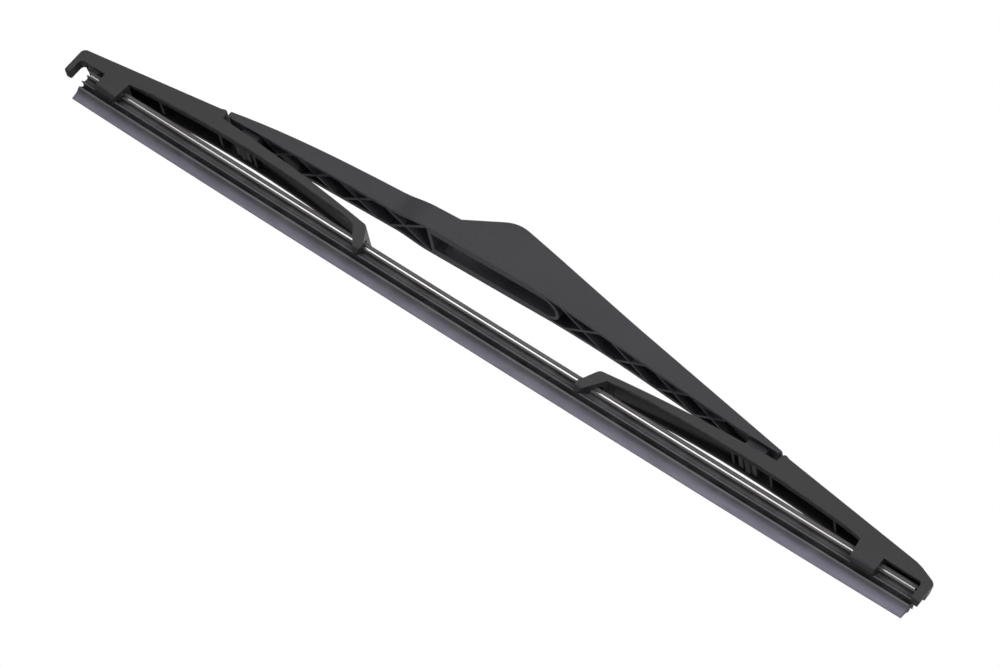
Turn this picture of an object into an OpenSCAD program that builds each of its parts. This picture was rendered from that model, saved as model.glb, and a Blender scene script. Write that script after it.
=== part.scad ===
// Rear wiper blade of the bridge type. A moulded bridge carries two moulded rocking levers,
// and their claws hold a rubber strip that two flat steel splines stiffen.
// X runs along the blade, Y across it, and +Z points away from the glass.
// The origin is the middle of the arm pin, halfway between the two lever pivots.
// Heights are counted up from the wiping lip, and to_part() moves them to the arm pin.

/* [Bridge] */
// Height of the arm pin above the wiping lip
arm_h = 34; // [33:0.5:35]
// Diameter of the arm pin
arm_pin_d = 5; // [4:0.25:6]
// Distance between the two lever pivots
pivot_span = 208; // [200:1:220]
// Reach of the bridge's left end past its pivot
left_over = 10; // [9.4:0.1:10.4]
// Reach of the bridge's right end past its pivot
right_over = 8.3; // [7.8:0.1:9]
// Width of the bridge across the pocket block
block_w = 17; // [16:0.2:19]
// Width of both arms of the bridge
arm_w = 12.9; // [12.4:0.1:13.4]
// Length of the soft step from the left arm to the pocket block
step_len = 13; // [9:1:16]
// Length of the taper from the pocket block to the right arm
taper_len = 57; // [45:1:65]
// Height of the top of the hump
hump_h = 42.4; // [41:0.2:44]
// Height of the shoulder in front of the hump
shoulder_h = 33.4; // [32:0.2:35]
// Distance of the shoulder from the middle
shoulder_x = 22.7; // [21:0.5:25]
// Steepness of the short side of the hump in degrees
hump_angle = 30; // [27:1:35]
// Height of the top of both bridge ends
tip_h = 24.2; // [23.8:0.1:24.6]
// How far the top of the left arm bulges above a straight line
arm_bulge = 3.6; // [2:0.1:4]
// Height of the lower rim at its highest point
rim_mid_h = 26.2; // [25.4:0.1:26.6]
// Distance of the rim's highest point from the middle
rim_shift = 15; // [10:1:20]
// Height of the lower rim at the left end
rim_left_h = 22; // [21.8:0.1:22.4]
// Height of the lower rim at the right end
rim_right_h = 22.9; // [22.4:0.1:23.2]
// Thickness of the bridge side walls
bridge_wall = 1.6; // [1.4:0.1:2]
// Thickness of the bridge roof
bridge_roof = 2; // [1.6:0.1:2.4]
// Length of the pocket that takes the end of the wiper arm
pocket_len = 49.8; // [46:0.2:52]
// Width of the pocket
pocket_w = 9.5; // [8.5:0.1:10]
// Distance of the flat pocket end from the middle
pocket_start = 29.3; // [27:0.1:30]
// Thickness of the walls that close the pocket ends
pocket_wall = 1.4; // [1.2:0.1:1.8]
// Depth of the two upright catches inside the pocket
catch_d = 0.7; // [0.4:0.1:1]
// Thickness of the crossed ribs
rib_t = 1; // [0.9:0.1:1.3]
// Angle between a rib and the length of the blade, in degrees
rib_angle = 38; // [34:1:42]
// Spacing of the first two rib crossings of each arm
rib_pitch = 19.5; // [18:0.5:20]
// How much the spacing shrinks from one crossing to the next
rib_shrink = 2; // [1:0.5:3]

/* [Levers] */
// Width of both levers
lever_w = 12.9; // [12.6:0.1:13.4]
// Thickness of the lever side walls
lever_wall = 2; // [1.7:0.1:2.3]
// Thickness of the lever roof
lever_roof = 1.8; // [1.5:0.1:2]
// Distance from the pivot to the inner claw
inner_reach = 58.8; // [54:0.2:62]
// Distance from the pivot to the middle of the outer claw
outer_reach = 51.2; // [48:0.2:54]
// Length of the outer claw
outer_claw_len = 9; // [7:0.5:10]
// Length of the inner claw at its foot
inner_claw_len = 2; // [1.6:0.1:3]
// Lean of the inner claw towards the pivot
claw_lean = 5.6; // [4:0.2:7]
// Height of the saddle under the end of the bridge
saddle_h = 20.5; // [20.2:0.1:20.7]
// Height of the step beside the end of the bridge
step_h = 23.5; // [23:0.1:24]
// Height of the low ridge on the step
ridge_h = 0.2; // [0:0.1:0.6]
// Height of the outer end of the lever
end_h = 15.7; // [15:0.1:16.5]
// Height of the inner end of the lever
inner_h = 15.2; // [14.8:0.1:15.8]
// Height of the arch between the two claws
arch_h = 15.6; // [15.3:0.1:16]
// Drop of the arch towards the claws
arch_drop = 2.4; // [1.5:0.1:3]
// Distance from the left pivot to the end of the open hook
hook_reach = 68.7; // [66:0.1:71]
// Distance from the right pivot to the end of the closed stop
stop_reach = 73.2; // [70:0.1:75]
// Thickness of the hook along the blade
hook_t = 2.2; // [2:0.1:3]
// Thickness of the stop along the blade
stop_t = 3.2; // [2.6:0.1:3.6]
// Width of the hook and of the stop, which stand on the near side only
finger_w = 3.9; // [3.2:0.1:4.4]
// Height of the foot of the hook and the stop
leg_foot_h = 5.2; // [4.6:0.1:5.6]
// Radius of the far corner of the left lever's end
hook_round = 3; // [1:0.5:4]
// How far the end of the right lever slants back to its far side
stop_slant = 3.4; // [0.5:0.1:4]
// Diameter of the moulded pivot pins
pin_d = 3.6; // [3:0.1:4]
// Height of the pivot pins above the wiping lip
pin_h = 17.9; // [17.7:0.1:18.1]

/* [Rubber] */
// Height of the rubber strip
rubber_h = 11.4; // [11.2:0.1:11.6]
// Width of the rubber head
head_w = 7.1; // [6.8:0.1:7.3]
// Width of the wiping lip at its edge
lip_w = 0.7; // [0.5:0.1:1]
// Width of the shoulder above the lip
shoulder_w = 4.2; // [3.8:0.1:4.4]
// Width of the flange in the middle of the strip
flange_w = 6.9; // [6.6:0.1:7]
// Width of the rubber between the claw grooves
groove_w = 3.4; // [3.2:0.1:3.6]
// Gap between the end of the strip and the hook
hook_gap = 4; // [3:0.1:5]
// Gap between the end of the strip and the stop
stop_gap = 0.5; // [0.1:0.1:1]
// Thickness of the splines
spline_t = 0.7; // [0.6:0.05:0.8]
// Width of each spline
spline_w = 2; // [1.7:0.05:2.1]
// How much shorter the splines are than the strip at each end
spline_short = 1.2; // [0.5:0.1:3]

/* [Fits] */
// Running clearance around the left pivot pin, on the radius
pin_clear = 0.06; // [0.03:0.01:0.1]
// Clearance around the right pivot pin, which lets the linkage close
open_clear = 0.4; // [0.35:0.05:0.5]
// Clearance between the claws and the strip
claw_clear = 0.2; // [0.15:0.05:0.25]
// Clearance of the splines in their slots
spline_clear = 0.03; // [0.02:0.01:0.05]
// Gap between the end of the bridge and the step of the lever
end_gap = 1.2; // [1.1:0.1:1.5]

/* [Hidden] */
$fn = 64;
embed = 0.5;
far = 60;
black = [0.11, 0.11, 0.12];
lever_black = [0.09, 0.09, 0.095];
rubber_grey = [0.2, 0.2, 0.23];
steel = [0.8, 0.81, 0.82];

pivot_x = pivot_span / 2;
left_tip = -pivot_x - left_over;
right_tip = pivot_x + right_over;

// Strip section, from the lip upwards
shoulder_top = 4.6;
neck_w = 0.9;
neck_low = 5.9;
neck_top = 6.2;
flange_low = 5.95;
flange_top = 7.5;
groove_top = 8.75;
slot_low = 9.3;
slot_top = slot_low + spline_t + 2 * spline_clear;
under_w = 6.4;
core_w = under_w - 2 * (spline_w + spline_clear);

// Levers, counted outwards from the pivot
claw_foot_h = 5.8;
inner_foot_h = 5.4;
window_h = 11.8;
tunnel_top = rubber_h + 0.5;
saddle_gap = 0.7;
ridge_len = 2.4;
outer_claw_in = outer_reach - outer_claw_len / 2;
outer_claw_out = outer_reach + outer_claw_len / 2;
inner_foot_in = -inner_reach - inner_claw_len / 2;
inner_foot_out = -inner_reach + inner_claw_len / 2;
arch_in = inner_foot_out + claw_lean + 0.4;
arch_out = outer_claw_in - 0.8;
inner_top_u = inner_foot_in + claw_lean - 1.1;
wall_recess = 0.7;
brace_u = 34;
opening_in = 5;
opening_out = 8.8;
end_lead = 1.4;
window_round = 1.6;
foot_round = 0.9;
open_end = 4.5;
end_wall = 1.2;

// Clips of the bridge
clip_wall = 1.5;
clip_w = lever_w - 2 * lever_wall - 0.9;
clip_mouth = pin_d - 0.7;
tip_wall = 2.5;
tip_round = 1;
left_cavity = pocket_start + pocket_wall;
left_rib_lead = 10.1;
pocket_end = pocket_len - pocket_start;
right_cavity = pocket_end - pocket_w / 2 + 1.5;
right_rib_lead = 14.6;
catch_r = 1.5;
catch_lead = 3.3;

// Points of an arc about c from angle a to angle b
function arc(c, r, a, b, n = 8) =
    [for (i = [0 : n]) c + r * [cos(a + (b - a) * i / n), sin(a + (b - a) * i / n)]];

// Height of the bridge's lower rim at x: it falls almost straight to the left, in a wave to the right
function rim(x) = x < rim_shift
    ? rim_mid_h - (rim_mid_h - rim_left_h) * pow((rim_shift - x) / (rim_shift - left_tip), 1.15)
    : rim_mid_h - (rim_mid_h - rim_right_h) * (1 - cos(180 * (x - rim_shift) / (right_tip - rim_shift))) / 2;

// Places of an arm's rib crossings, counted outwards from the inner end of its hollow
function crossing(i) = rib_pitch * i - rib_shrink * i * (i - 1) / 2;

// Height of the inner lever top, slightly bowed, u counted outwards from the pivot
inner_bow = 0.8;
function inner_top(u) = let (part = (u - inner_top_u) / (saddle_end() - inner_top_u))
    inner_h + (saddle_h - inner_h) * part + 4 * inner_bow * part * (1 - part);

// End of the saddle and place of the step, for a lever under a bridge end that reaches $over
function saddle_end() = $over + saddle_gap;
function step_u() = $over + end_gap;

// Height of the arch at u
arch_mid = (arch_in + arch_out) / 2;
function arch(u) = arch_h - arch_drop * pow((u - arch_mid) / (arch_out - arch_mid), 2);

// Height of the outer lever top at u, for a lever whose end is at reach
function outer_top(u, reach) = step_h + (end_h - step_h) * (u - step_u()) / (reach - end_lead - step_u());

// Puts the part's origin at the arm pin
module to_part() {
    translate([0, 0, -arm_h]) children();
}

// Side outline drawn in X and Z, made solid across the blade
module across(w) {
    translate([0, w / 2, 0]) rotate([90, 0, 0]) linear_extrude(w) children();
}

// Section drawn in Y and Z, made solid along the blade
module along(x0, x1) {
    translate([x0, 0, 0]) rotate([90, 0, 90]) linear_extrude(x1 - x0) children();
}

// Outline from its right half, which starts and ends on the middle line
module both_halves(points) {
    last = len(points) - 1;
    polygon(concat(points, [for (i = [last - 1 : -1 : 1]) [-points[i][0], points[i][1]]]));
}

// Bridge: straight flank down to the right end, shoulder and short flank on the left
hump_x = -shoulder_x + (hump_h + 0.5 - shoulder_h) / tan(hump_angle);
right_angle = atan((hump_h + 0.5 - tip_h) / (right_tip - hump_x));
peak_r = 13;
peak_cut = peak_r * tan((hump_angle + right_angle) / 2);
peak_start = [hump_x - peak_cut * cos(hump_angle), hump_h + 0.5 - peak_cut * sin(hump_angle)];
peak_c = peak_start + peak_r * [sin(hump_angle), -cos(hump_angle)];

// Top of the left arm at the share f of its length from the shoulder, bending down at its tip
function left_top(f) = [
    -shoulder_x + (left_tip + shoulder_x) * f,
    shoulder_h - (shoulder_h - tip_h) * f + arm_bulge * f * (1 - pow(f, 2.5))
];

function bridge_top(drop) = [
    [right_tip, tip_h - drop],
    for (p = arc(peak_c, peak_r, 90 - right_angle, 90 + hump_angle)) p - [0, drop],
    for (f = [0 : 1 / 16 : 1]) left_top(f) - [0, drop]
];

// Half width of the bridge at x, with a soft step on the left and a long taper on the right
block_in = pocket_start + 3.7;
taper_start = -2;
function ease(t) = let (s = min(1, max(0, t))) s * s * (3 - 2 * s);
function block_share(x) = x < taper_start
    ? ease((x + block_in + step_len) / step_len)
    : 1 - ease((x - taper_start) / taper_len);
function half_width(x) = (arm_w + (block_w - arm_w) * block_share(x)) / 2;

module bridge_plan(inset) {
    stations = concat([left_tip], [for (i = [0 : 8]) -block_in - step_len * (1 - i / 8)],
        [for (i = [0 : 12]) taper_start + taper_len * i / 12], [right_tip]);
    side = [for (x = stations) [x, half_width(x) - inset]];
    last = len(side) - 1;
    polygon(concat(side, [for (i = [last : -1 : 0]) [side[i][0], -side[i][1]]]));
}

// Lower rim from the left end to the right, with rounded corners at both tips
rim_line = concat(
    arc([left_tip + tip_round, rim(left_tip) + tip_round], tip_round, 180, 270),
    [for (i = [1 : 23]) let (x = left_tip + (right_tip - left_tip) * i / 24) [x, rim(x)]],
    arc([right_tip - tip_round, rim(right_tip) + tip_round], tip_round, 270, 360)
);

module bridge_body() {
    intersection() {
        across(2 * block_w) polygon(concat(rim_line, bridge_top(0)));
        linear_extrude(far) bridge_plan(0);
    }
}

// Hollow of one arm between x0 and x1
module arm_hollow(x0, x1, grow) {
    intersection() {
        across(2 * block_w) polygon(concat([[left_tip, 0], [right_tip, 0]], bridge_top(bridge_roof - grow)));
        linear_extrude(far) bridge_plan(bridge_wall - grow);
        translate([x0 - grow, -block_w, 0]) cube([x1 - x0 + 2 * grow, 2 * block_w, far]);
    }
}

// Pairs of crossed ribs about the crossings, long enough to reach both walls
module cross_ribs(crossings) {
    reach = 1.2 * block_w / sin(rib_angle);
    for (x = crossings)
        for (side = [-1, 1])
            translate([x, 0, 0]) rotate([0, 0, side * rib_angle])
                translate([-reach / 2, -rib_t / 2, 0]) cube([reach, rib_t, far]);
}

module arm_ribs(x0, x1, crossings) {
    intersection() {
        arm_hollow(x0, x1, embed);
        across(2 * block_w) polygon(concat(rim_line, [[right_tip, far], [left_tip, far]]));
        cross_ribs(crossings);
    }
}

module pocket() {
    r = pocket_w / 2;
    linear_extrude(far) polygon(concat(
        [[-pocket_start, r], [-pocket_start, -r]],
        arc([pocket_end - r, 0], r, -90, 90, 24)
    ));
}

// Snap clip that hangs from the bridge's end and grips a lever pin from above
module clip(clear) {
    bore_r = pin_d / 2 + clear;
    clip_r = bore_r + clip_wall;
    difference() {
        across(clip_w) union() {
            translate([0, pin_h]) circle(clip_r);
            translate([-clip_r, pin_h]) square([2 * clip_r, tip_h + embed - pin_h]);
        }
        translate([0, 0, pin_h]) rotate([90, 0, 0]) cylinder(r = bore_r, h = 2 * clip_w, center = true);
        translate([-clip_mouth / 2, -clip_w, pin_h - 2 * clip_r]) cube([clip_mouth, 2 * clip_w, 2 * clip_r]);
        translate([-2 * clip_r, -clip_w, pin_h - 2 * clip_r])
            cube([4 * clip_r, 2 * clip_w, 2 * clip_r - pin_d / 2 + 0.5]);
    }
}

module bridge() {
    color(black) to_part() {
        difference() {
            bridge_body();
            arm_hollow(left_tip + tip_wall, -left_cavity, 0);
            difference() {
                arm_hollow(right_cavity, right_tip - tip_wall, 0);
                translate([pocket_end - pocket_w / 2, 0, 0]) cylinder(d = pocket_w + 2 * pocket_wall, h = far);
            }
            pocket();
        }
        arm_ribs(left_tip + tip_wall, -left_cavity,
            [for (i = [0 : 3]) -left_cavity - left_rib_lead - crossing(i)]);
        arm_ribs(right_cavity, right_tip - tip_wall,
            [for (i = [0 : 3]) right_cavity + right_rib_lead + crossing(i)]);
        translate([0, 0, arm_h]) rotate([90, 0, 0])
            cylinder(d = arm_pin_d, h = pocket_w + 2 * embed, center = true);
        for (side = [-1, 1])
            translate([-pocket_start + catch_lead, side * (pocket_w / 2 + catch_r - catch_d), rim_mid_h])
                cylinder(r = catch_r, h = shoulder_h - rim_mid_h - 1);
        translate([-pivot_x, 0, 0]) clip(pin_clear);
        translate([pivot_x, 0, 0]) clip(open_clear);
    }
}

// Lever side outline: u outwards from the pivot, z up from the lip
function lever_arch() =
    [for (i = [0 : 12]) let (u = arch_in + (arch_out - arch_in) * i / 12) [u, arch(u)]];

function lever_inner_top() =
    [for (i = [0 : 8]) let (u = saddle_end() + (inner_top_u - saddle_end()) * i / 8) [u, inner_top(u)]];

// Top of the lever's end, for the hook and for the stop
function hook_top(reach) = [
    [reach, window_h],
    [reach, end_h - 1.6],
    [reach - 0.5, end_h - 0.6],
    [reach - end_lead, end_h]
];

function stop_top(reach) = [
    [reach, window_h],
    [reach, end_h - 3.2],
    [reach - 0.4, end_h - 2.3],
    [reach - 1.2, end_h - 1.7],
    [reach - 6, end_h + 0.15],
    [reach - 8.5, end_h + 0.85]
];

function lever_outline(reach, top) = concat(
    [[inner_foot_in, 8.2], [inner_foot_in, inner_foot_h + 1.6], [inner_foot_in + 0.6, inner_foot_h]],
    [[inner_foot_out, inner_foot_h]],
    lever_arch(),
    [[outer_claw_in, claw_foot_h + 1], [outer_claw_in + 0.6, claw_foot_h]],
    [[outer_claw_out, claw_foot_h], [outer_claw_out, window_h]],
    top,
    [[step_u() + ridge_len, outer_top(step_u() + ridge_len, reach)], [step_u() + 0.9, step_h + ridge_h]],
    [[step_u() + 0.1, step_h + ridge_h - 0.2], [step_u() - 0.2, step_h - 0.5]],
    lever_inner_top(),
    [[inner_top_u - 0.7, inner_h - 0.35], [inner_top_u - 1.3, inner_h - 1.1]]
);

// Section of the whole lever: soft top edges, and claw feet that curl inwards
module lever_section() {
    h = lever_w / 2;
    both_halves([
        [0, 0], [3.4, 0], [4.2, inner_foot_h], [h - 1, claw_foot_h], [h - 0.25, 6.6], [h, 7.6],
        [h, far], [0, far]
    ]);
}

// Room that the claws leave around the strip, with a finger in each groove
module strip_room() {
    flange = flange_w / 2 + claw_clear;
    finger = groove_w / 2 + claw_clear;
    head = head_w / 2 + claw_clear;
    both_halves([
        [0, -1], [flange, -1], [flange, flange_top], [finger, flange_top + claw_clear],
        [finger, groove_top - claw_clear], [head - 0.4, groove_top - claw_clear + 0.05],
        [head, groove_top + 0.2], [head, tunnel_top], [0, tunnel_top]
    ]);
}

// Inside of the lever between the inner claw and its end
module lever_hollow(reach, hollow_out, grow) {
    hollow_in = arch_in + 1;
    across(lever_w - 2 * lever_wall + 2 * grow) polygon(concat(
        [[hollow_in - grow, 0], [hollow_out + grow, 0]],
        [[hollow_out + grow, outer_top(hollow_out, reach) - lever_roof + grow]],
        [[step_u() + 1, outer_top(step_u() + 1, reach) - lever_roof + grow]],
        [for (i = [0 : 8]) let (u = saddle_end() + (hollow_in - grow - saddle_end()) * i / 8)
            [u, inner_top(u) - lever_roof + grow]]
    ));
}

// Upright walls across the hollow: both ends of the opening, and one brace farther out
module cross_walls(reach, hollow_out) {
    wall_floor = [for (p = lever_arch()) p + [0, wall_recess]];
    intersection() {
        lever_hollow(reach, hollow_out, embed);
        across(lever_w) polygon(concat(wall_floor, [[arch_out, far], [arch_in, far]]));
        for (u = [-opening_in - rib_t, opening_out, brace_u])
            translate([u, -lever_w / 2, 0]) cube([rib_t, lever_w, far]);
    }
}

// Finger on the near side: a fillet under the window, and round corners at its foot
module finger(reach, t) {
    fillet_c = [reach - t - window_round, window_h - window_round];
    near = -lever_w / 2;
    intersection() {
        across(2 * lever_w) polygon(concat(
            [[reach, window_h + embed], [fillet_c[0], end_h - lever_roof + embed]],
            arc(fillet_c, window_round, 90, 0),
            arc([reach - t + foot_round, leg_foot_h + foot_round], foot_round, 180, 270),
            arc([reach - foot_round, leg_foot_h + foot_round], foot_round, 270, 360)
        ));
        along(fillet_c[0] - 1, reach + 1) polygon(concat(
            [[near + finger_w, far], [near, far]],
            arc([near + foot_round, leg_foot_h + foot_round], foot_round, 180, 270),
            arc([near + finger_w - foot_round, leg_foot_h + foot_round], foot_round, 270, 360)
        ));
    }
}

// Lever with its finger of thickness t, its hollow up to hollow_out and the given plan
module lever(reach, t, top, hollow_out, plan) {
    inner_w = lever_w - 2 * lever_wall;
    difference() {
        intersection() {
            across(2 * lever_w) polygon(lever_outline(reach, top));
            along(inner_foot_in - 1, reach + 1) lever_section();
            linear_extrude(far) polygon(plan);
        }
        difference() {
            lever_hollow(reach, hollow_out, 0);
            translate([outer_claw_in - 2, -lever_w, 0])
                cube([outer_claw_len + 2, 2 * lever_w, tunnel_top + 0.8]);
        }
        along(inner_foot_in - 2, outer_claw_out + 1) strip_room();
        translate([-opening_in, -inner_w / 2, saddle_h - 2 * lever_roof])
            cube([opening_in + opening_out, inner_w, far]);
    }
    intersection() {
        finger(reach, t);
        linear_extrude(far) polygon(plan);
    }
    cross_walls(reach, hollow_out);
    translate([0, 0, pin_h]) rotate([90, 0, 0])
        cylinder(d = pin_d, h = inner_w + 2 * embed, center = true);
}

// Left lever: open below its roof at the far side of the end, where the strip slides in
module left_lever() {
    plan = concat(
        [[inner_foot_in - 1, lever_w], [inner_foot_in - 1, -lever_w], [hook_reach, -lever_w]],
        arc([hook_reach - hook_round, lever_w / 2 - hook_round], hook_round, 0, 90),
        [[hook_reach - hook_round, lever_w]]
    );
    color(lever_black) to_part() mirror([1, 0, 0]) translate([pivot_x, 0, 0])
        difference() {
            lever(hook_reach, hook_t, hook_top(hook_reach), hook_reach - hook_t, plan, $over = left_over);
            translate([hook_reach - open_end, finger_w - lever_w / 2, 0])
                cube([open_end + 1, lever_w, end_h - lever_roof]);
        }
}

// Right lever: closed by an end wall that slants back to the far side
module right_lever() {
    plan = [
        [inner_foot_in - 1, lever_w], [inner_foot_in - 1, -lever_w],
        [stop_reach, -lever_w], [stop_reach, -lever_w / 2],
        [stop_reach - stop_slant, lever_w / 2], [stop_reach - stop_slant, lever_w]
    ];
    hollow_out = stop_reach - max(stop_slant + end_wall, stop_t);
    color(lever_black) to_part() translate([pivot_x, 0, 0])
        lever(stop_reach, stop_t, stop_top(stop_reach), hollow_out, plan, $over = right_over);
}

// Rubber strip and splines
strip_left = -(pivot_x + hook_reach - hook_t - hook_gap);
strip_right = pivot_x + stop_reach - stop_t - stop_gap;

module rubber_blade() {
    color(rubber_grey) to_part() along(strip_left, strip_right) both_halves([
        [0, 0], [lip_w / 2, 0], [lip_w / 2 + 0.15, 1.1], [lip_w / 2 + 0.4, 2.3],
        [shoulder_w / 2 - 0.9, 3.15], [shoulder_w / 2 - 0.15, shoulder_top - 0.7],
        [shoulder_w / 2, shoulder_top - 0.4], [shoulder_w / 2 - 0.1, shoulder_top],
        [shoulder_w / 2 - 0.8, shoulder_top + 0.4], [neck_w / 2 + 0.25, neck_low - 0.4],
        [neck_w / 2, neck_low], [neck_w / 2, neck_top], [groove_w / 2, neck_top + 0.05],
        [flange_w / 2 - 0.15, flange_low], [flange_w / 2, flange_low + 0.25],
        [flange_w / 2 - 0.55, flange_low + 0.5], [groove_w / 2 + 0.55, flange_low + 0.95],
        [groove_w / 2 + 0.1, flange_top - 0.2], [groove_w / 2, flange_top + 0.3],
        [groove_w / 2, groove_top - 0.2], [groove_w / 2 + 0.25, groove_top],
        [under_w / 2, groove_top + 0.1], [under_w / 2, slot_low],
        [core_w / 2, slot_low], [core_w / 2, slot_top], [head_w / 2 - 0.1, slot_top],
        [head_w / 2, slot_top + 0.4], [head_w / 2 - 0.5, rubber_h], [0, rubber_h]
    ]);
}

module spline(side) {
    color(steel) to_part() along(strip_left + spline_short, strip_right - spline_short)
        translate([side * (core_w / 2 + spline_clear + spline_w / 2), slot_low + spline_clear + spline_t / 2])
            square([spline_w, spline_t], center = true);
}

module near_spline() {
    spline(-1);
}

module far_spline() {
    spline(1);
}

bridge();
left_lever();
right_lever();
rubber_blade();
near_spline();
far_spline();
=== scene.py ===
import math
import bmesh
import bpy
from mathutils import Matrix, Vector
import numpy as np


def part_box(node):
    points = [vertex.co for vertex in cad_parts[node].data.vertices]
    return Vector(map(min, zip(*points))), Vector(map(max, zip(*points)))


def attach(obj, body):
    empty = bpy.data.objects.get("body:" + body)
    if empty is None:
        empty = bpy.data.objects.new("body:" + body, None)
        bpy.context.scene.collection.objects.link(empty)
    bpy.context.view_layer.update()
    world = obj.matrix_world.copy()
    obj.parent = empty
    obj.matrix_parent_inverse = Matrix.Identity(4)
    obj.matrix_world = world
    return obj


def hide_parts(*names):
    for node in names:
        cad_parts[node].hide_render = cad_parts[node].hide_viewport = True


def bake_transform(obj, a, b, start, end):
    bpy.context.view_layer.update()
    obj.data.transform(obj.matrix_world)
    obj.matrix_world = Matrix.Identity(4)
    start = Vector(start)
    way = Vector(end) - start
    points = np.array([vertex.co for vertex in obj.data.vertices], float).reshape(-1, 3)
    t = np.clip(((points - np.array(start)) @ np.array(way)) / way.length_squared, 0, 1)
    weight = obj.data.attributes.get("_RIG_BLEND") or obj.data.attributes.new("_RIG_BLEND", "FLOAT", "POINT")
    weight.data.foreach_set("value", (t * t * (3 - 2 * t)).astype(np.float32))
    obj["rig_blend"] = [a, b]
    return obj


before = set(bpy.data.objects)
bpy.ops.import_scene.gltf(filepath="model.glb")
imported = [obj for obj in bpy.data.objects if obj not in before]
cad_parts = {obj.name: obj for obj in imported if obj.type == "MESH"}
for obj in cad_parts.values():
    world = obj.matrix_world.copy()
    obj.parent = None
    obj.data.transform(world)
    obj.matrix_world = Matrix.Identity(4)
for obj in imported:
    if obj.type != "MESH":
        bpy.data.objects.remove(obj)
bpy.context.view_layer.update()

# Bridge
# The main carrier is one moulding of black glass-filled nylon, an open channel with crossed ribs.
# Its flanks have the fine eroded grain of the mould, and its outer edges are rounded and a
# little rubbed. It snaps over the pins of both levers, and the wiper arm clips on its cross pin.
MM = 0.001
BRIDGE_TOP_ROUND = 1.2 * MM
RIM_ROUND = 0.35 * MM
# Which edges and faces count as roofs, sides, rims and walls, by their normals and places
MERGE_REACH = 0.001 * MM
FACE_WEIGHT = 100
FLAT_ANGLE = 0.5
ROOF_FACING = 0.45
SIDE_FACING = 0.9
UNDER_FACING = -0.85
WALL_TILT = 0.4
BELOW_ROOF = 0.3
FLANK_Y = 6 * MM
OUTER_Y = 5 * MM
SHORTEST_EDGE = 0.8 * MM
RIM_FACING = -0.8
RIM_COLUMN = 6 * MM
RIB_RECESS = 3 * MM
# Pitches, shares and shades of the marks in the plastic, and of the light painted on its rims
BRIDGE_BLACK = (0.0275, 0.0262, 0.0325)
BRIDGE_ROUGHNESS = 0.5
GRAIN_PITCH = 0.35 * MM
GRAIN_DEPTH = 0.05 * MM
FLOW_PITCH = 14 * MM
FLOW_STRETCH = (0.35, 1, 1)
FLOW_SHADES = (0.8, 1.16)
SPECKLE_RANGE = (0.4, 0.7)
SPECKLE_SHARE = 0.5
SPECKLE_SHADE = 1.7
# Painted light from below on the downward rims: how much, and how many times lighter
RIM_PAINTED_LIGHT_SHARE = 0.7
RIM_PAINTED_LIGHT_FACTOR = 3
WEAR_PITCH = 2.5 * MM
WEAR_RANGE = (0.4, 0.62)
WEAR_SHARE = 0.7
WEAR_SHADE = 2.4
WEAR_POLISH = 0.12
ROUGH_SWING = 0.06


class Socket:
    """One output in a material, with arithmetic that adds the Math nodes."""

    def __init__(self, finish, output):
        self.finish = finish
        self.output = output

    def combine(self, operation, left, right):
        return self.finish.node("ShaderNodeMath", {"operation": operation}, [left, right])

    def __add__(self, other):
        return self.combine("ADD", self, other)

    def __radd__(self, other):
        return self.combine("ADD", other, self)

    def __sub__(self, other):
        return self.combine("SUBTRACT", self, other)

    def __rsub__(self, other):
        return self.combine("SUBTRACT", other, self)

    def __mul__(self, other):
        return self.combine("MULTIPLY", self, other)

    def __rmul__(self, other):
        return self.combine("MULTIPLY", other, self)


class Finish:
    """A node material that is built up one call at a time."""

    def __init__(self, name):
        self.material = bpy.data.materials.new(name)
        self.material.use_nodes = True
        self.tree = self.material.node_tree
        self.shader = self.tree.nodes["Principled BSDF"]

    def plug(self, socket, value):
        if isinstance(value, Socket):
            self.tree.links.new(value.output, socket)
        else:
            socket.default_value = value

    def node(self, kind, settings=None, values=(), output=0):
        made = self.tree.nodes.new(kind)
        for key, setting in (settings or {}).items():
            if key == "stops":
                ramp = made.color_ramp
                while len(ramp.elements) < len(setting):
                    ramp.elements.new(0.5)
                for element, (place, colour) in zip(ramp.elements, setting):
                    element.position = place
                    element.color = colour
            else:
                setattr(made, key, setting)
        pairs = values.items() if isinstance(values, dict) else enumerate(values)
        for key, value in pairs:
            self.plug(made.inputs[key], value)
        return Socket(self, made.outputs[output])

    def place(self):
        return self.node("ShaderNodeTexCoord", output="Object")

    def along(self):
        """The place along the blade, in metres from the arm pin."""
        return self.node("ShaderNodeSeparateXYZ", values=[self.place()], output="X")

    def noise(self, pitch, detail=2.0, roughness=0.5, stretch=(1, 1, 1)):
        spot = self.node("ShaderNodeMapping", {}, {"Vector": self.place(), "Scale": stretch})
        return self.node("ShaderNodeTexNoise", {}, {
            "Vector": spot, "Scale": 1 / pitch, "Detail": detail, "Roughness": roughness})

    def between(self, value, low, high, out_low, out_high):
        return self.node("ShaderNodeMapRange", {"clamp": True},
                         {"Value": value, "From Min": low, "From Max": high,
                          "To Min": out_low, "To Max": out_high})

    def spread(self, noise, out_low, out_high):
        """The middle of a noise, from 0.3 to 0.7, taken to the two given values."""
        return self.between(noise, 0.3, 0.7, out_low, out_high)

    def blend(self, share, first, second):
        mixed = self.node("ShaderNodeMix", {"data_type": "RGBA"}, output=2)
        inputs = mixed.output.node.inputs
        self.plug(inputs[0], share)
        self.plug(inputs[6], first)
        self.plug(inputs[7], second)
        return mixed

    def mark(self, name):
        """A value that the mesh carries on its faces or points."""
        return self.node("ShaderNodeAttribute", {"attribute_name": name}, output="Fac")

    def finish(self, colour, roughness, height=None, distance=0.0, strength=1.0):
        self.plug(self.shader.inputs["Base Color"], colour)
        self.plug(self.shader.inputs["Roughness"], roughness)
        if height is not None:
            bump = self.node("ShaderNodeBump", {}, {
                "Strength": strength, "Distance": distance, "Height": height})
            self.plug(self.shader.inputs["Normal"], bump)
        return self.material


def shade(colour, factor):
    return (colour[0] * factor, colour[1] * factor, colour[2] * factor, 1)


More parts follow.
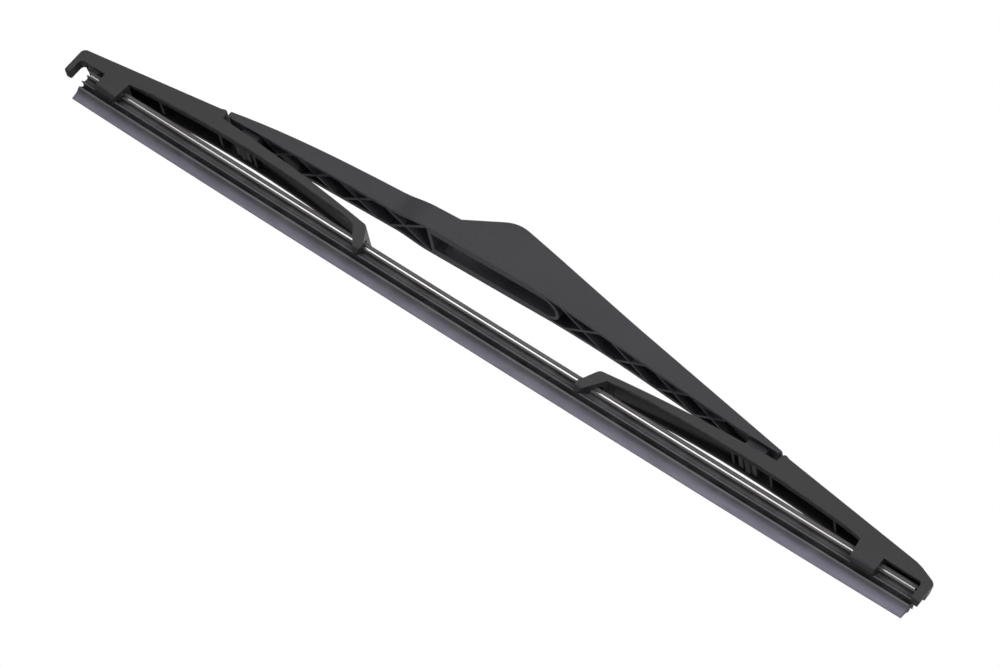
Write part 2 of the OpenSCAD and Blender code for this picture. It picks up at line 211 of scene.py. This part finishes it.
def moulded_plastic(name, colour, roughness):
    """Grained black plastic with flow marks, painted light from below on its downward rims, and patches
    rubbed on its edges.
    """
    made = Finish(name)
    grain = made.noise(GRAIN_PITCH, detail=3.0, roughness=0.6)
    flow = made.noise(FLOW_PITCH, detail=2.0, stretch=FLOW_STRETCH)
    dark, light = FLOW_SHADES
    tone = made.blend(made.spread(flow, 0, 1), shade(colour, dark), shade(colour, light))
    speckle = made.between(grain, *SPECKLE_RANGE, 0, 1)
    tone = made.blend(speckle * SPECKLE_SHARE, tone, shade(colour, SPECKLE_SHADE))
    # Painted light: the downward rims are made three times lighter, as if lit from below.
    tone = made.blend(made.mark("rim") * RIM_PAINTED_LIGHT_SHARE, tone, shade(colour, RIM_PAINTED_LIGHT_FACTOR))
    patches = made.between(made.noise(WEAR_PITCH, detail=3.0), *WEAR_RANGE, 0, WEAR_SHARE)
    rubbed = made.mark("worn") * patches
    tone = made.blend(rubbed, tone, shade(colour, WEAR_SHADE))
    rough = made.spread(grain, roughness - ROUGH_SWING, roughness + ROUGH_SWING)
    return made.finish(tone, rough - rubbed * WEAR_POLISH, grain,
                       distance=GRAIN_DEPTH, strength=0.9)


def merged_copy(node):
    """The node's own shape as one closed mesh with whole faces."""
    shape = bmesh.new()
    shape.from_mesh(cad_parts[node].data)
    bmesh.ops.remove_doubles(shape, verts=shape.verts, dist=MERGE_REACH)
    bmesh.ops.dissolve_limit(shape, angle_limit=math.radians(FLAT_ANGLE),
                             verts=shape.verts, edges=shape.edges)
    shape.faces.layers.float.new("worn")
    return shape


def sharp_edges(shape, wanted, least):
    """Convex edges sharper than least degrees whose two faces pass the test."""
    found = []
    for edge in shape.edges:
        if len(edge.link_faces) != 2 or not edge.is_convex:
            continue
        if edge.calc_face_angle() < math.radians(least):
            continue
        first, second = edge.link_faces
        if wanted(edge, first, second) or wanted(edge, second, first):
            found.append(edge)
    return found


def round_edges(shape, edges, radius, segments, clamp):
    """Bevel the edges and mark the new faces as worn. With clamp, short edges cut the radius."""
    result = bmesh.ops.bevel(shape, geom=edges, offset=radius, offset_type="OFFSET",
                             segments=segments, profile=0.5, affect="EDGES", material=-1,
                             clamp_overlap=clamp)
    worn = shape.faces.layers.float["worn"]
    for face in result["faces"]:
        face[worn] = 1.0


def round_all(shape, rounds):
    """Each row has a test for edges, their least angle in degrees, radius, segments and clamp."""
    for wanted, least, radius, segments, clamp in rounds:
        round_edges(shape, sharp_edges(shape, wanted, least), radius, segments, clamp)


def mark_rim_light(shape, recess):
    """The rims and the rib edges just inside them, which face down, get a value of their own that paints
    light from below on them.
    """
    rim = shape.faces.layers.float.new("rim")
    lowest = {}
    for vert in shape.verts:
        column = round(vert.co.x / RIM_COLUMN)
        lowest[column] = min(lowest.get(column, vert.co.z), vert.co.z)
    for face in shape.faces:
        middle = face.calc_center_median()
        level = lowest.get(round(middle.x / RIM_COLUMN), middle.z)
        if face.normal.z < RIM_FACING and middle.z < level + recess:
            face[rim] = 1.0


def make_piece(name, shape, material, smooth=35):
    """The finished shape as an object. Edges over smooth degrees stay sharp."""
    mesh = bpy.data.meshes.new(name)
    shape.to_mesh(mesh)
    shape.free()
    mesh.shade_smooth()
    mesh.set_sharp_from_angle(angle=math.radians(smooth))
    mesh.materials.append(material)
    piece = bpy.data.objects.new(name, mesh)
    bpy.context.scene.collection.objects.link(piece)
    even = piece.modifiers.new("even_normals", "WEIGHTED_NORMAL")
    even.keep_sharp = True
    even.weight = FACE_WEIGHT
    return piece


def edge_middle(edge):
    return (edge.verts[0].co + edge.verts[1].co) / 2


def top_and_flank(edge, roof, flank):
    """Edges where the roof meets an outer side."""
    return (roof.normal.z > ROOF_FACING and abs(flank.normal.y) > SIDE_FACING
            and abs(edge_middle(edge).y) > FLANK_Y)


def inner_rim(edge, first, second):
    """Long edges of the rims that face the inside."""
    return (edge.calc_length() > SHORTEST_EDGE and first.normal.z < UNDER_FACING
            and abs(second.normal.z) < WALL_TILT
            and second.normal.y * edge_middle(edge).y <= 0)


def outer_edge(edge, first, second):
    """Long edges around the two outer sides but the top ones."""
    middle = edge_middle(edge)
    return (edge.calc_length() > SHORTEST_EDGE and abs(first.normal.y) > SIDE_FACING
            and first.normal.y * middle.y > 0 and abs(middle.y) > OUTER_Y
            and second.normal.z < BELOW_ROOF)


bridge_shape = merged_copy("bridge")
round_all(bridge_shape, (
    (top_and_flank, 40, BRIDGE_TOP_ROUND, 4, True),
    (outer_edge, 60, RIM_ROUND, 2, True),
    (inner_rim, 60, RIM_ROUND, 2, True),
))
# The downward rims get painted light from below.
mark_rim_light(bridge_shape, RIB_RECESS)
bridge = make_piece("bridge_moulding", bridge_shape,
                    moulded_plastic("bridge_plastic", BRIDGE_BLACK, BRIDGE_ROUGHNESS))
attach(bridge, "bridge")
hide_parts("bridge")

# Levers
# Both rocking levers are black mouldings with a smoother, satin skin. Their soft-edged claws
# grip the rubber strip, and a pin inside each one turns in the bridge's clip.
LEVER_TOP_ROUND = 1.0 * MM
ARCH_ROUND = 0.8 * MM
CLAW_ROUND = 0.5 * MM
ARCH_LEVEL = -22.6 * MM
ARCH_FACING = -0.5
LEVER_BLACK = (0.0155, 0.0146, 0.017)
LEVER_ROUGHNESS = 0.46


def arch_edge(edge, first, second):
    """Outer edges of the long arched rims between the claws."""
    return (outer_edge(edge, first, second) and second.normal.z < ARCH_FACING
            and min(vert.co.z for vert in edge.verts) > ARCH_LEVEL)


LEVER_ROUNDS = (
    (top_and_flank, 40, LEVER_TOP_ROUND, 4, True),
    (arch_edge, 50, ARCH_ROUND, 4, False),
    (outer_edge, 50, CLAW_ROUND, 3, True),
    (inner_rim, 50, RIM_ROUND, 2, True),
)
lever_plastic = moulded_plastic("lever_plastic", LEVER_BLACK, LEVER_ROUGHNESS)
for side in ("left", "right"):
    lever_shape = merged_copy(side + "_lever")
    round_all(lever_shape, LEVER_ROUNDS)
    lever = make_piece(side + "_lever_moulding", lever_shape, lever_plastic)
    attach(lever, side + "_lever")
    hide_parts(side + "_lever")

# Rubber strip
# The wiping strip is extruded natural rubber, cut square to length. Its head holds the splines,
# a thin flange keeps the claws in their grooves, and the lip is coated with graphite.
LIP_Z = -34 * MM
# Y and Z in millimetres, one half of the section from the middle of the lip's edge upwards
STRIP_SECTION = (
    (0.0, 0.0), (0.28, 0.0), (0.35, 0.08), (0.5, 1.1), (0.62, 1.75), (0.78, 2.35), (1.0, 2.8),
    (1.4, 3.3), (1.85, 3.75), (2.05, 4.0), (2.1, 4.25), (2.08, 4.5), (1.98, 4.64), (1.75, 4.78),
    (1.3, 5.0), (0.95, 5.25), (0.7, 5.5), (0.5, 5.8), (0.45, 6.0), (0.5, 6.15), (0.62, 6.24),
    (1.3, 6.28), (1.75, 6.24), (2.5, 6.1), (3.25, 5.96), (3.4, 5.98), (3.46, 6.1), (3.38, 6.24),
    (2.9, 6.45), (2.5, 6.68), (2.25, 6.9), (1.95, 7.15), (1.8, 7.4), (1.72, 7.8), (1.7, 8.5),
    (1.78, 8.68), (1.95, 8.76), (3.05, 8.84), (3.2, 8.96), (3.2, 9.28), (1.17, 9.3), (1.17, 10.06),
    (3.4, 10.06), (3.52, 10.2), (3.55, 10.6), (3.48, 10.95), (3.2, 11.26), (2.8, 11.38),
    (0.0, 11.4),
)
STRIP_ENDS = (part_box("rubber_blade")[0][0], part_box("rubber_blade")[1][0])
STATION = 4 * MM
OUTER_CLAW = 0.150
INNER_CLAW = 0.047
STRIP_SAG = (-0.15 * MM, 0.35 * MM, 0.4 * MM)
SAG_REACH = 0.166
LIP_DEPTH = 9.5 * MM
STRIP_SMOOTH = 32
GRAPHITE_AND_PAINTED_LIGHT = (0.36, 0.335, 0.46, 1)
COAT_AND_PAINTED_LIGHT_SHARE = 0.3
COAT_EDGE = (2.5 * MM, 5 * MM)
# The coat's spread along the blade is painted light: the lip is lighter towards the right end.
PAINTED_LIGHT_ALONG = (-50 * MM, 150 * MM)
DRAG_PITCH = 1.2 * MM
DRAG_STRETCH = (0.12, 1, 1)
DRAG_SHARE = 0.35
DRAG_GREY = (0.06, 0.06, 0.068, 1)
DRAG_DEPTH = 0.02 * MM
CLOUD_PITCH = 9 * MM
CLOUD_RANGE = (0.4, 0.75)
CLOUD_SHARE = 0.2
CLOUD_GREY = (0.3, 0.295, 0.33, 1)
RUBBER_ROUGHNESS = (0.5, 0.64)
STRIP_GIRTH = 26 * MM
# Colours by the run round that half, in millimetres from the middle of the lip's edge
# Painted light and shade: a highlight on the shoulder's bead, light on the flange's underside and tip and on
# the ledge's underside, and near-black shade in the neck and just under the ledge. The lip is lighter at its
# edge and darker up its flank.
STRIP_TONES_AND_PAINTED_LIGHT = (
    (0.0, (0.255, 0.24, 0.312)), (1.4, (0.225, 0.212, 0.277)), (2.7, (0.15, 0.142, 0.182)),
    (3.84, (0.078, 0.076, 0.09)), (4.5, (0.06, 0.059, 0.066)), (4.85, (0.155, 0.153, 0.165)),
    (5.2, (0.18, 0.178, 0.19)), (5.5, (0.05, 0.049, 0.052)), (6.0, (0.012, 0.012, 0.014)),
    (7.6, (0.012, 0.012, 0.014)), (8.0, (0.07, 0.07, 0.074)), (9.0, (0.1, 0.099, 0.105)),
    (10.5, (0.26, 0.257, 0.27)), (10.9, (0.2, 0.197, 0.205)), (11.1, (0.07, 0.069, 0.072)),
    (13.4, (0.075, 0.073, 0.075)), (14.0, (0.012, 0.012, 0.012)), (14.5, (0.012, 0.012, 0.012)),
    (14.9, (0.12, 0.112, 0.11)), (15.9, (0.17, 0.16, 0.156)), (16.1, (0.12, 0.113, 0.11)),
    (21.1, (0.13, 0.121, 0.118)), (26.0, (0.16, 0.149, 0.146)),
)


def extruded(section, start, end, station):
    """A closed section in Y and Z, drawn along X with a ring at each station.

    Each point keeps its run, the shorter way round the outline from the section's first point.
    """
    shape = bmesh.new()
    run = shape.verts.layers.float.new("run")
    ring = [shape.verts.new((start, y, z)) for y, z in section]
    shape.faces.new(ring)
    for count, vert in enumerate(ring):
        steps = [math.dist(section[i], section[i + 1]) for i in range(count)]
        vert[run] = sum(steps)
    whole = ring[-1][run] + math.dist(section[-1], section[0])
    for vert in ring:
        vert[run] = min(vert[run], whole - vert[run])
    drawn = bmesh.ops.extrude_face_region(shape, geom=list(shape.faces))
    moved = [item for item in drawn["geom"] if isinstance(item, bmesh.types.BMVert)]
    bmesh.ops.translate(shape, verts=moved, vec=(end - start, 0, 0))
    for count in range(1, int((end - start) / station)):
        everything = list(shape.verts) + list(shape.edges) + list(shape.faces)
        bmesh.ops.bisect_plane(shape, geom=everything,
                               plane_co=(start + count * station, 0, 0), plane_no=(1, 0, 0))
    bmesh.ops.recalc_face_normals(shape, faces=shape.faces)
    return shape


def let_sag(shape):
    """The strip hangs a little low in its middle, and the free lip curls up at both ends."""
    middle, ends, lip = STRIP_SAG
    for vert in shape.verts:
        outwards = (vert.co.x / SAG_REACH) ** 2
        depth = max(0.0, 1 - (vert.co.z - LIP_Z) / LIP_DEPTH)
        vert.co.z += middle + ends * outwards + lip * depth * outwards ** 2


def strip_halves(name, outline, ends, material, node):
    """One run of the strip on each side of the middle, carried along by the lever there."""
    for side, start, end in (("left", ends[0], 0.0), ("right", 0.0, ends[1])):
        shape = extruded(outline, start, end, STATION)
        let_sag(shape)
        half = make_piece(name + "_" + side, shape, material, smooth=STRIP_SMOOTH)
        if side == "left":
            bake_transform(half, "left_lever", "strip", start=(-OUTER_CLAW, 0, LIP_Z),
                     end=(-INNER_CLAW, 0, LIP_Z))
        else:
            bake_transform(half, "strip", "right_lever", start=(INNER_CLAW, 0, LIP_Z),
                     end=(OUTER_CLAW, 0, LIP_Z))
        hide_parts(node)


def strip_rubber():
    """Tones by the place round the section, with painted highlights and painted shade in them, a coating on
    the lip that is lighter towards the right end as painted light, and faint marks of wiping.
    """
    made = Finish("strip_rubber")
    run = made.mark("run")
    tone = made.node("ShaderNodeValToRGB", {"stops": [
        (place * MM / STRIP_GIRTH, colour + (1,)) for place, colour in STRIP_TONES_AND_PAINTED_LIGHT]},
        {"Fac": made.between(run, 0, STRIP_GIRTH, 0, 1)})
    lip_coat_and_painted_light = made.between(run, *COAT_EDGE, COAT_AND_PAINTED_LIGHT_SHARE, 0)
    # Painted light: the coat fades out towards the left end, so the lip is lighter on the right, where more
    # light falls.
    lip_coat_and_painted_light = lip_coat_and_painted_light * made.between(made.along(), *PAINTED_LIGHT_ALONG, 0, 1)
    tone = made.blend(lip_coat_and_painted_light, tone, GRAPHITE_AND_PAINTED_LIGHT)
    drag = made.noise(DRAG_PITCH, detail=4.0, roughness=0.65, stretch=DRAG_STRETCH)
    cloud = made.noise(CLOUD_PITCH, detail=2.0)
    tone = made.blend(made.spread(drag, 0, DRAG_SHARE), tone, DRAG_GREY)
    tone = made.blend(made.between(cloud, *CLOUD_RANGE, 0, CLOUD_SHARE), tone, CLOUD_GREY)
    rough = made.spread(drag, *RUBBER_ROUGHNESS)
    return made.finish(tone, rough, drag, distance=DRAG_DEPTH, strength=0.5)


right_half = [(y * MM, z * MM + LIP_Z) for y, z in STRIP_SECTION]
strip_outline = right_half + [(-y, z) for y, z in reversed(right_half) if y > 0]
strip_halves("strip", strip_outline, STRIP_ENDS, strip_rubber(), "rubber_blade")

# Splines
# Two flat strips of rolled stainless steel lie in the slots of the rubber head, one on each side.
# They are bright, with fine drawing lines along their length and rounded edges.
SPLINE_ROUND = 0.12 * MM
LINE_PITCH = 0.25 * MM
LINE_STRETCH = (0.02, 1, 1)
LINE_DEPTH = 0.01 * MM
STEEL_ROUGHNESS = (0.2, 0.34)
STEEL_TONES = ((0.5, 0.495, 0.495, 1), (0.62, 0.61, 0.61, 1))
STEEL_PAINTED_SHADE = (0.22, 0.21, 0.212, 1)
PAINTED_SHADE_RIGHT = (80 * MM, 160 * MM, 0, 0.35)
PAINTED_SHADE_LEFT = (-60 * MM, -140 * MM, 0, 0.6)


def rolled_steel():
    """Bright steel with lines along it, painted darker towards both ends for a dimmer reflection there."""
    made = Finish("spline_steel")
    lines = made.noise(LINE_PITCH, detail=3.0, roughness=0.6, stretch=LINE_STRETCH)
    tone = made.blend(made.spread(lines, 0, 1), *STEEL_TONES)
    # Painted shade: the steel's reflection is made dimmer towards both ends.
    painted_end_shade = made.between(made.along(), *PAINTED_SHADE_RIGHT) + made.between(made.along(), *PAINTED_SHADE_LEFT)
    tone = made.blend(painted_end_shade, tone, STEEL_PAINTED_SHADE)
    made.plug(made.shader.inputs["Metallic"], 1.0)
    rough = made.spread(lines, *STEEL_ROUGHNESS)
    return made.finish(tone, rough, lines, distance=LINE_DEPTH, strength=0.3)


def rounded_box(low, high, cut):
    """The outline of a flat strip in Y and Z, with its four corners cut off."""
    (near, bottom), (far, top) = low, high
    return [(near, bottom + cut), (near + cut, bottom), (far - cut, bottom), (far, bottom + cut),
            (far, top - cut), (far - cut, top), (near + cut, top), (near, top - cut)]


steel = rolled_steel()
for node in ("near_spline", "far_spline"):
    low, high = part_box(node)
    spline_outline = rounded_box(low[1:], high[1:], SPLINE_ROUND)
    strip_halves(node, spline_outline, (low[0], high[0]), steel, node)

# Floor, light and camera
# A plain pale floor lies well below the blade and is seen from above only. Soft lamps light the
# blade from its near side, its right end, above and behind.
FLOOR_Z = -0.6
FLOOR_HALF = 3
PAPER = (0.85, 0.85, 0.85, 1)
PAPER_ROUGHNESS = 0.8
PAPER_GLOW = 0.75
AMBIENT = 0.05
SHEEN = 0.5
LAMP_AIM = Vector((0, 0, -0.02))
LAMPS = (
    ("near_softbox", (-0.6, -1.3, 0.4), (0.7, 1.5), 5.6),
    ("right_softbox", (0.9, -1.0, 0.05), (0.8, 0.8), 7.5),
    ("top_softbox", (0.1, 0.0, 1.2), (1.2, 0.8), 6.0),
    ("far_softbox", (-0.55, 1.4, 0.5), (1.0, 0.8), 5.0),
)
VIEW_AZIMUTH = math.radians(25.854)
VIEW_HEIGHT = math.radians(-19.299)
VIEW_ROLL = math.radians(41.230)
VIEW_DISTANCE = 1.3171
VIEW_LENS = 148.88
VIEW_SHIFT = (0.0453, 0.0071)
SENSOR_WIDTH = 36

floor_shape = bmesh.new()
bmesh.ops.create_grid(floor_shape, x_segments=1, y_segments=1, size=FLOOR_HALF)
bmesh.ops.translate(floor_shape, verts=floor_shape.verts, vec=(0, 0, FLOOR_Z))
floor_mesh = bpy.data.meshes.new("floor")
floor_shape.to_mesh(floor_mesh)
floor_shape.free()
paper = Finish("floor_paper")
paper.finish(PAPER, PAPER_ROUGHNESS)
seen = paper.node("ShaderNodeLightPath", output="Is Camera Ray") * PAPER_GLOW
glow = paper.node("ShaderNodeEmission", {}, {"Color": (1, 1, 1, 1)})
lit = Socket(paper, paper.shader.outputs[0])
pale = paper.node("ShaderNodeMixShader", {}, [seen, lit, glow])
under = paper.node("ShaderNodeNewGeometry", output="Backfacing")
clear = paper.node("ShaderNodeBsdfTransparent")
one_sided = paper.node("ShaderNodeMixShader", {}, [under, pale, clear])
paper.plug(paper.tree.nodes["Material Output"].inputs["Surface"], one_sided)
floor_mesh.materials.append(paper.material)
floor = bpy.data.objects.new("floor", floor_mesh)
bpy.context.scene.collection.objects.link(floor)

world = bpy.data.worlds.new("studio")
bpy.context.scene.world = world
world.use_nodes = True
background = world.node_tree.nodes["Background"]
background.inputs["Color"].default_value = (1, 1, 1, 1)
path = world.node_tree.nodes.new("ShaderNodeLightPath")
strength = AMBIENT
rays = (("Is Glossy Ray", SHEEN), ("Is Transmission Ray", 1.0), ("Is Camera Ray", 1.0))
for ray, brightness in rays:
    step = world.node_tree.nodes.new("ShaderNodeMix")
    world.node_tree.links.new(path.outputs[ray], step.inputs[0])
    if isinstance(strength, float):
        step.inputs[2].default_value = strength
    else:
        world.node_tree.links.new(strength, step.inputs[2])
    step.inputs[3].default_value = brightness
    strength = step.outputs[0]
world.node_tree.links.new(strength, background.inputs["Strength"])


def soft_lamp(name, place, size, power):
    lamp = bpy.data.lights.new(name, "AREA")
    lamp.shape = "RECTANGLE"
    lamp.size = size[0]
    lamp.size_y = size[1]
    lamp.energy = power
    holder = bpy.data.objects.new(name, lamp)
    towards = (LAMP_AIM - Vector(place)).to_track_quat("-Z", "Y")
    holder.matrix_world = Matrix.Translation(place) @ towards.to_matrix().to_4x4()
    bpy.context.scene.collection.objects.link(holder)


for lamp_facts in LAMPS:
    soft_lamp(*lamp_facts)

back = Vector((math.sin(VIEW_AZIMUTH) * math.cos(VIEW_HEIGHT),
               -math.cos(VIEW_AZIMUTH) * math.cos(VIEW_HEIGHT), math.sin(VIEW_HEIGHT)))
level = Vector((math.cos(VIEW_AZIMUTH), math.sin(VIEW_AZIMUTH), 0))
upright = back.cross(level)
right = math.cos(VIEW_ROLL) * level + math.sin(VIEW_ROLL) * upright
top = -math.sin(VIEW_ROLL) * level + math.cos(VIEW_ROLL) * upright
view = Matrix((right, top, back)).transposed().to_4x4()
view.translation = Vector((0, 0, LIP_Z)) + VIEW_DISTANCE * back
lens = bpy.data.cameras.new("camera")
lens.lens = VIEW_LENS
lens.sensor_width = SENSOR_WIDTH
lens.shift_x, lens.shift_y = VIEW_SHIFT
camera = bpy.data.objects.new("camera", lens)
bpy.context.scene.collection.objects.link(camera)
camera.matrix_world = view
bpy.context.scene.camera = camera
bpy.context.scene.view_settings.view_transform = "Standard"
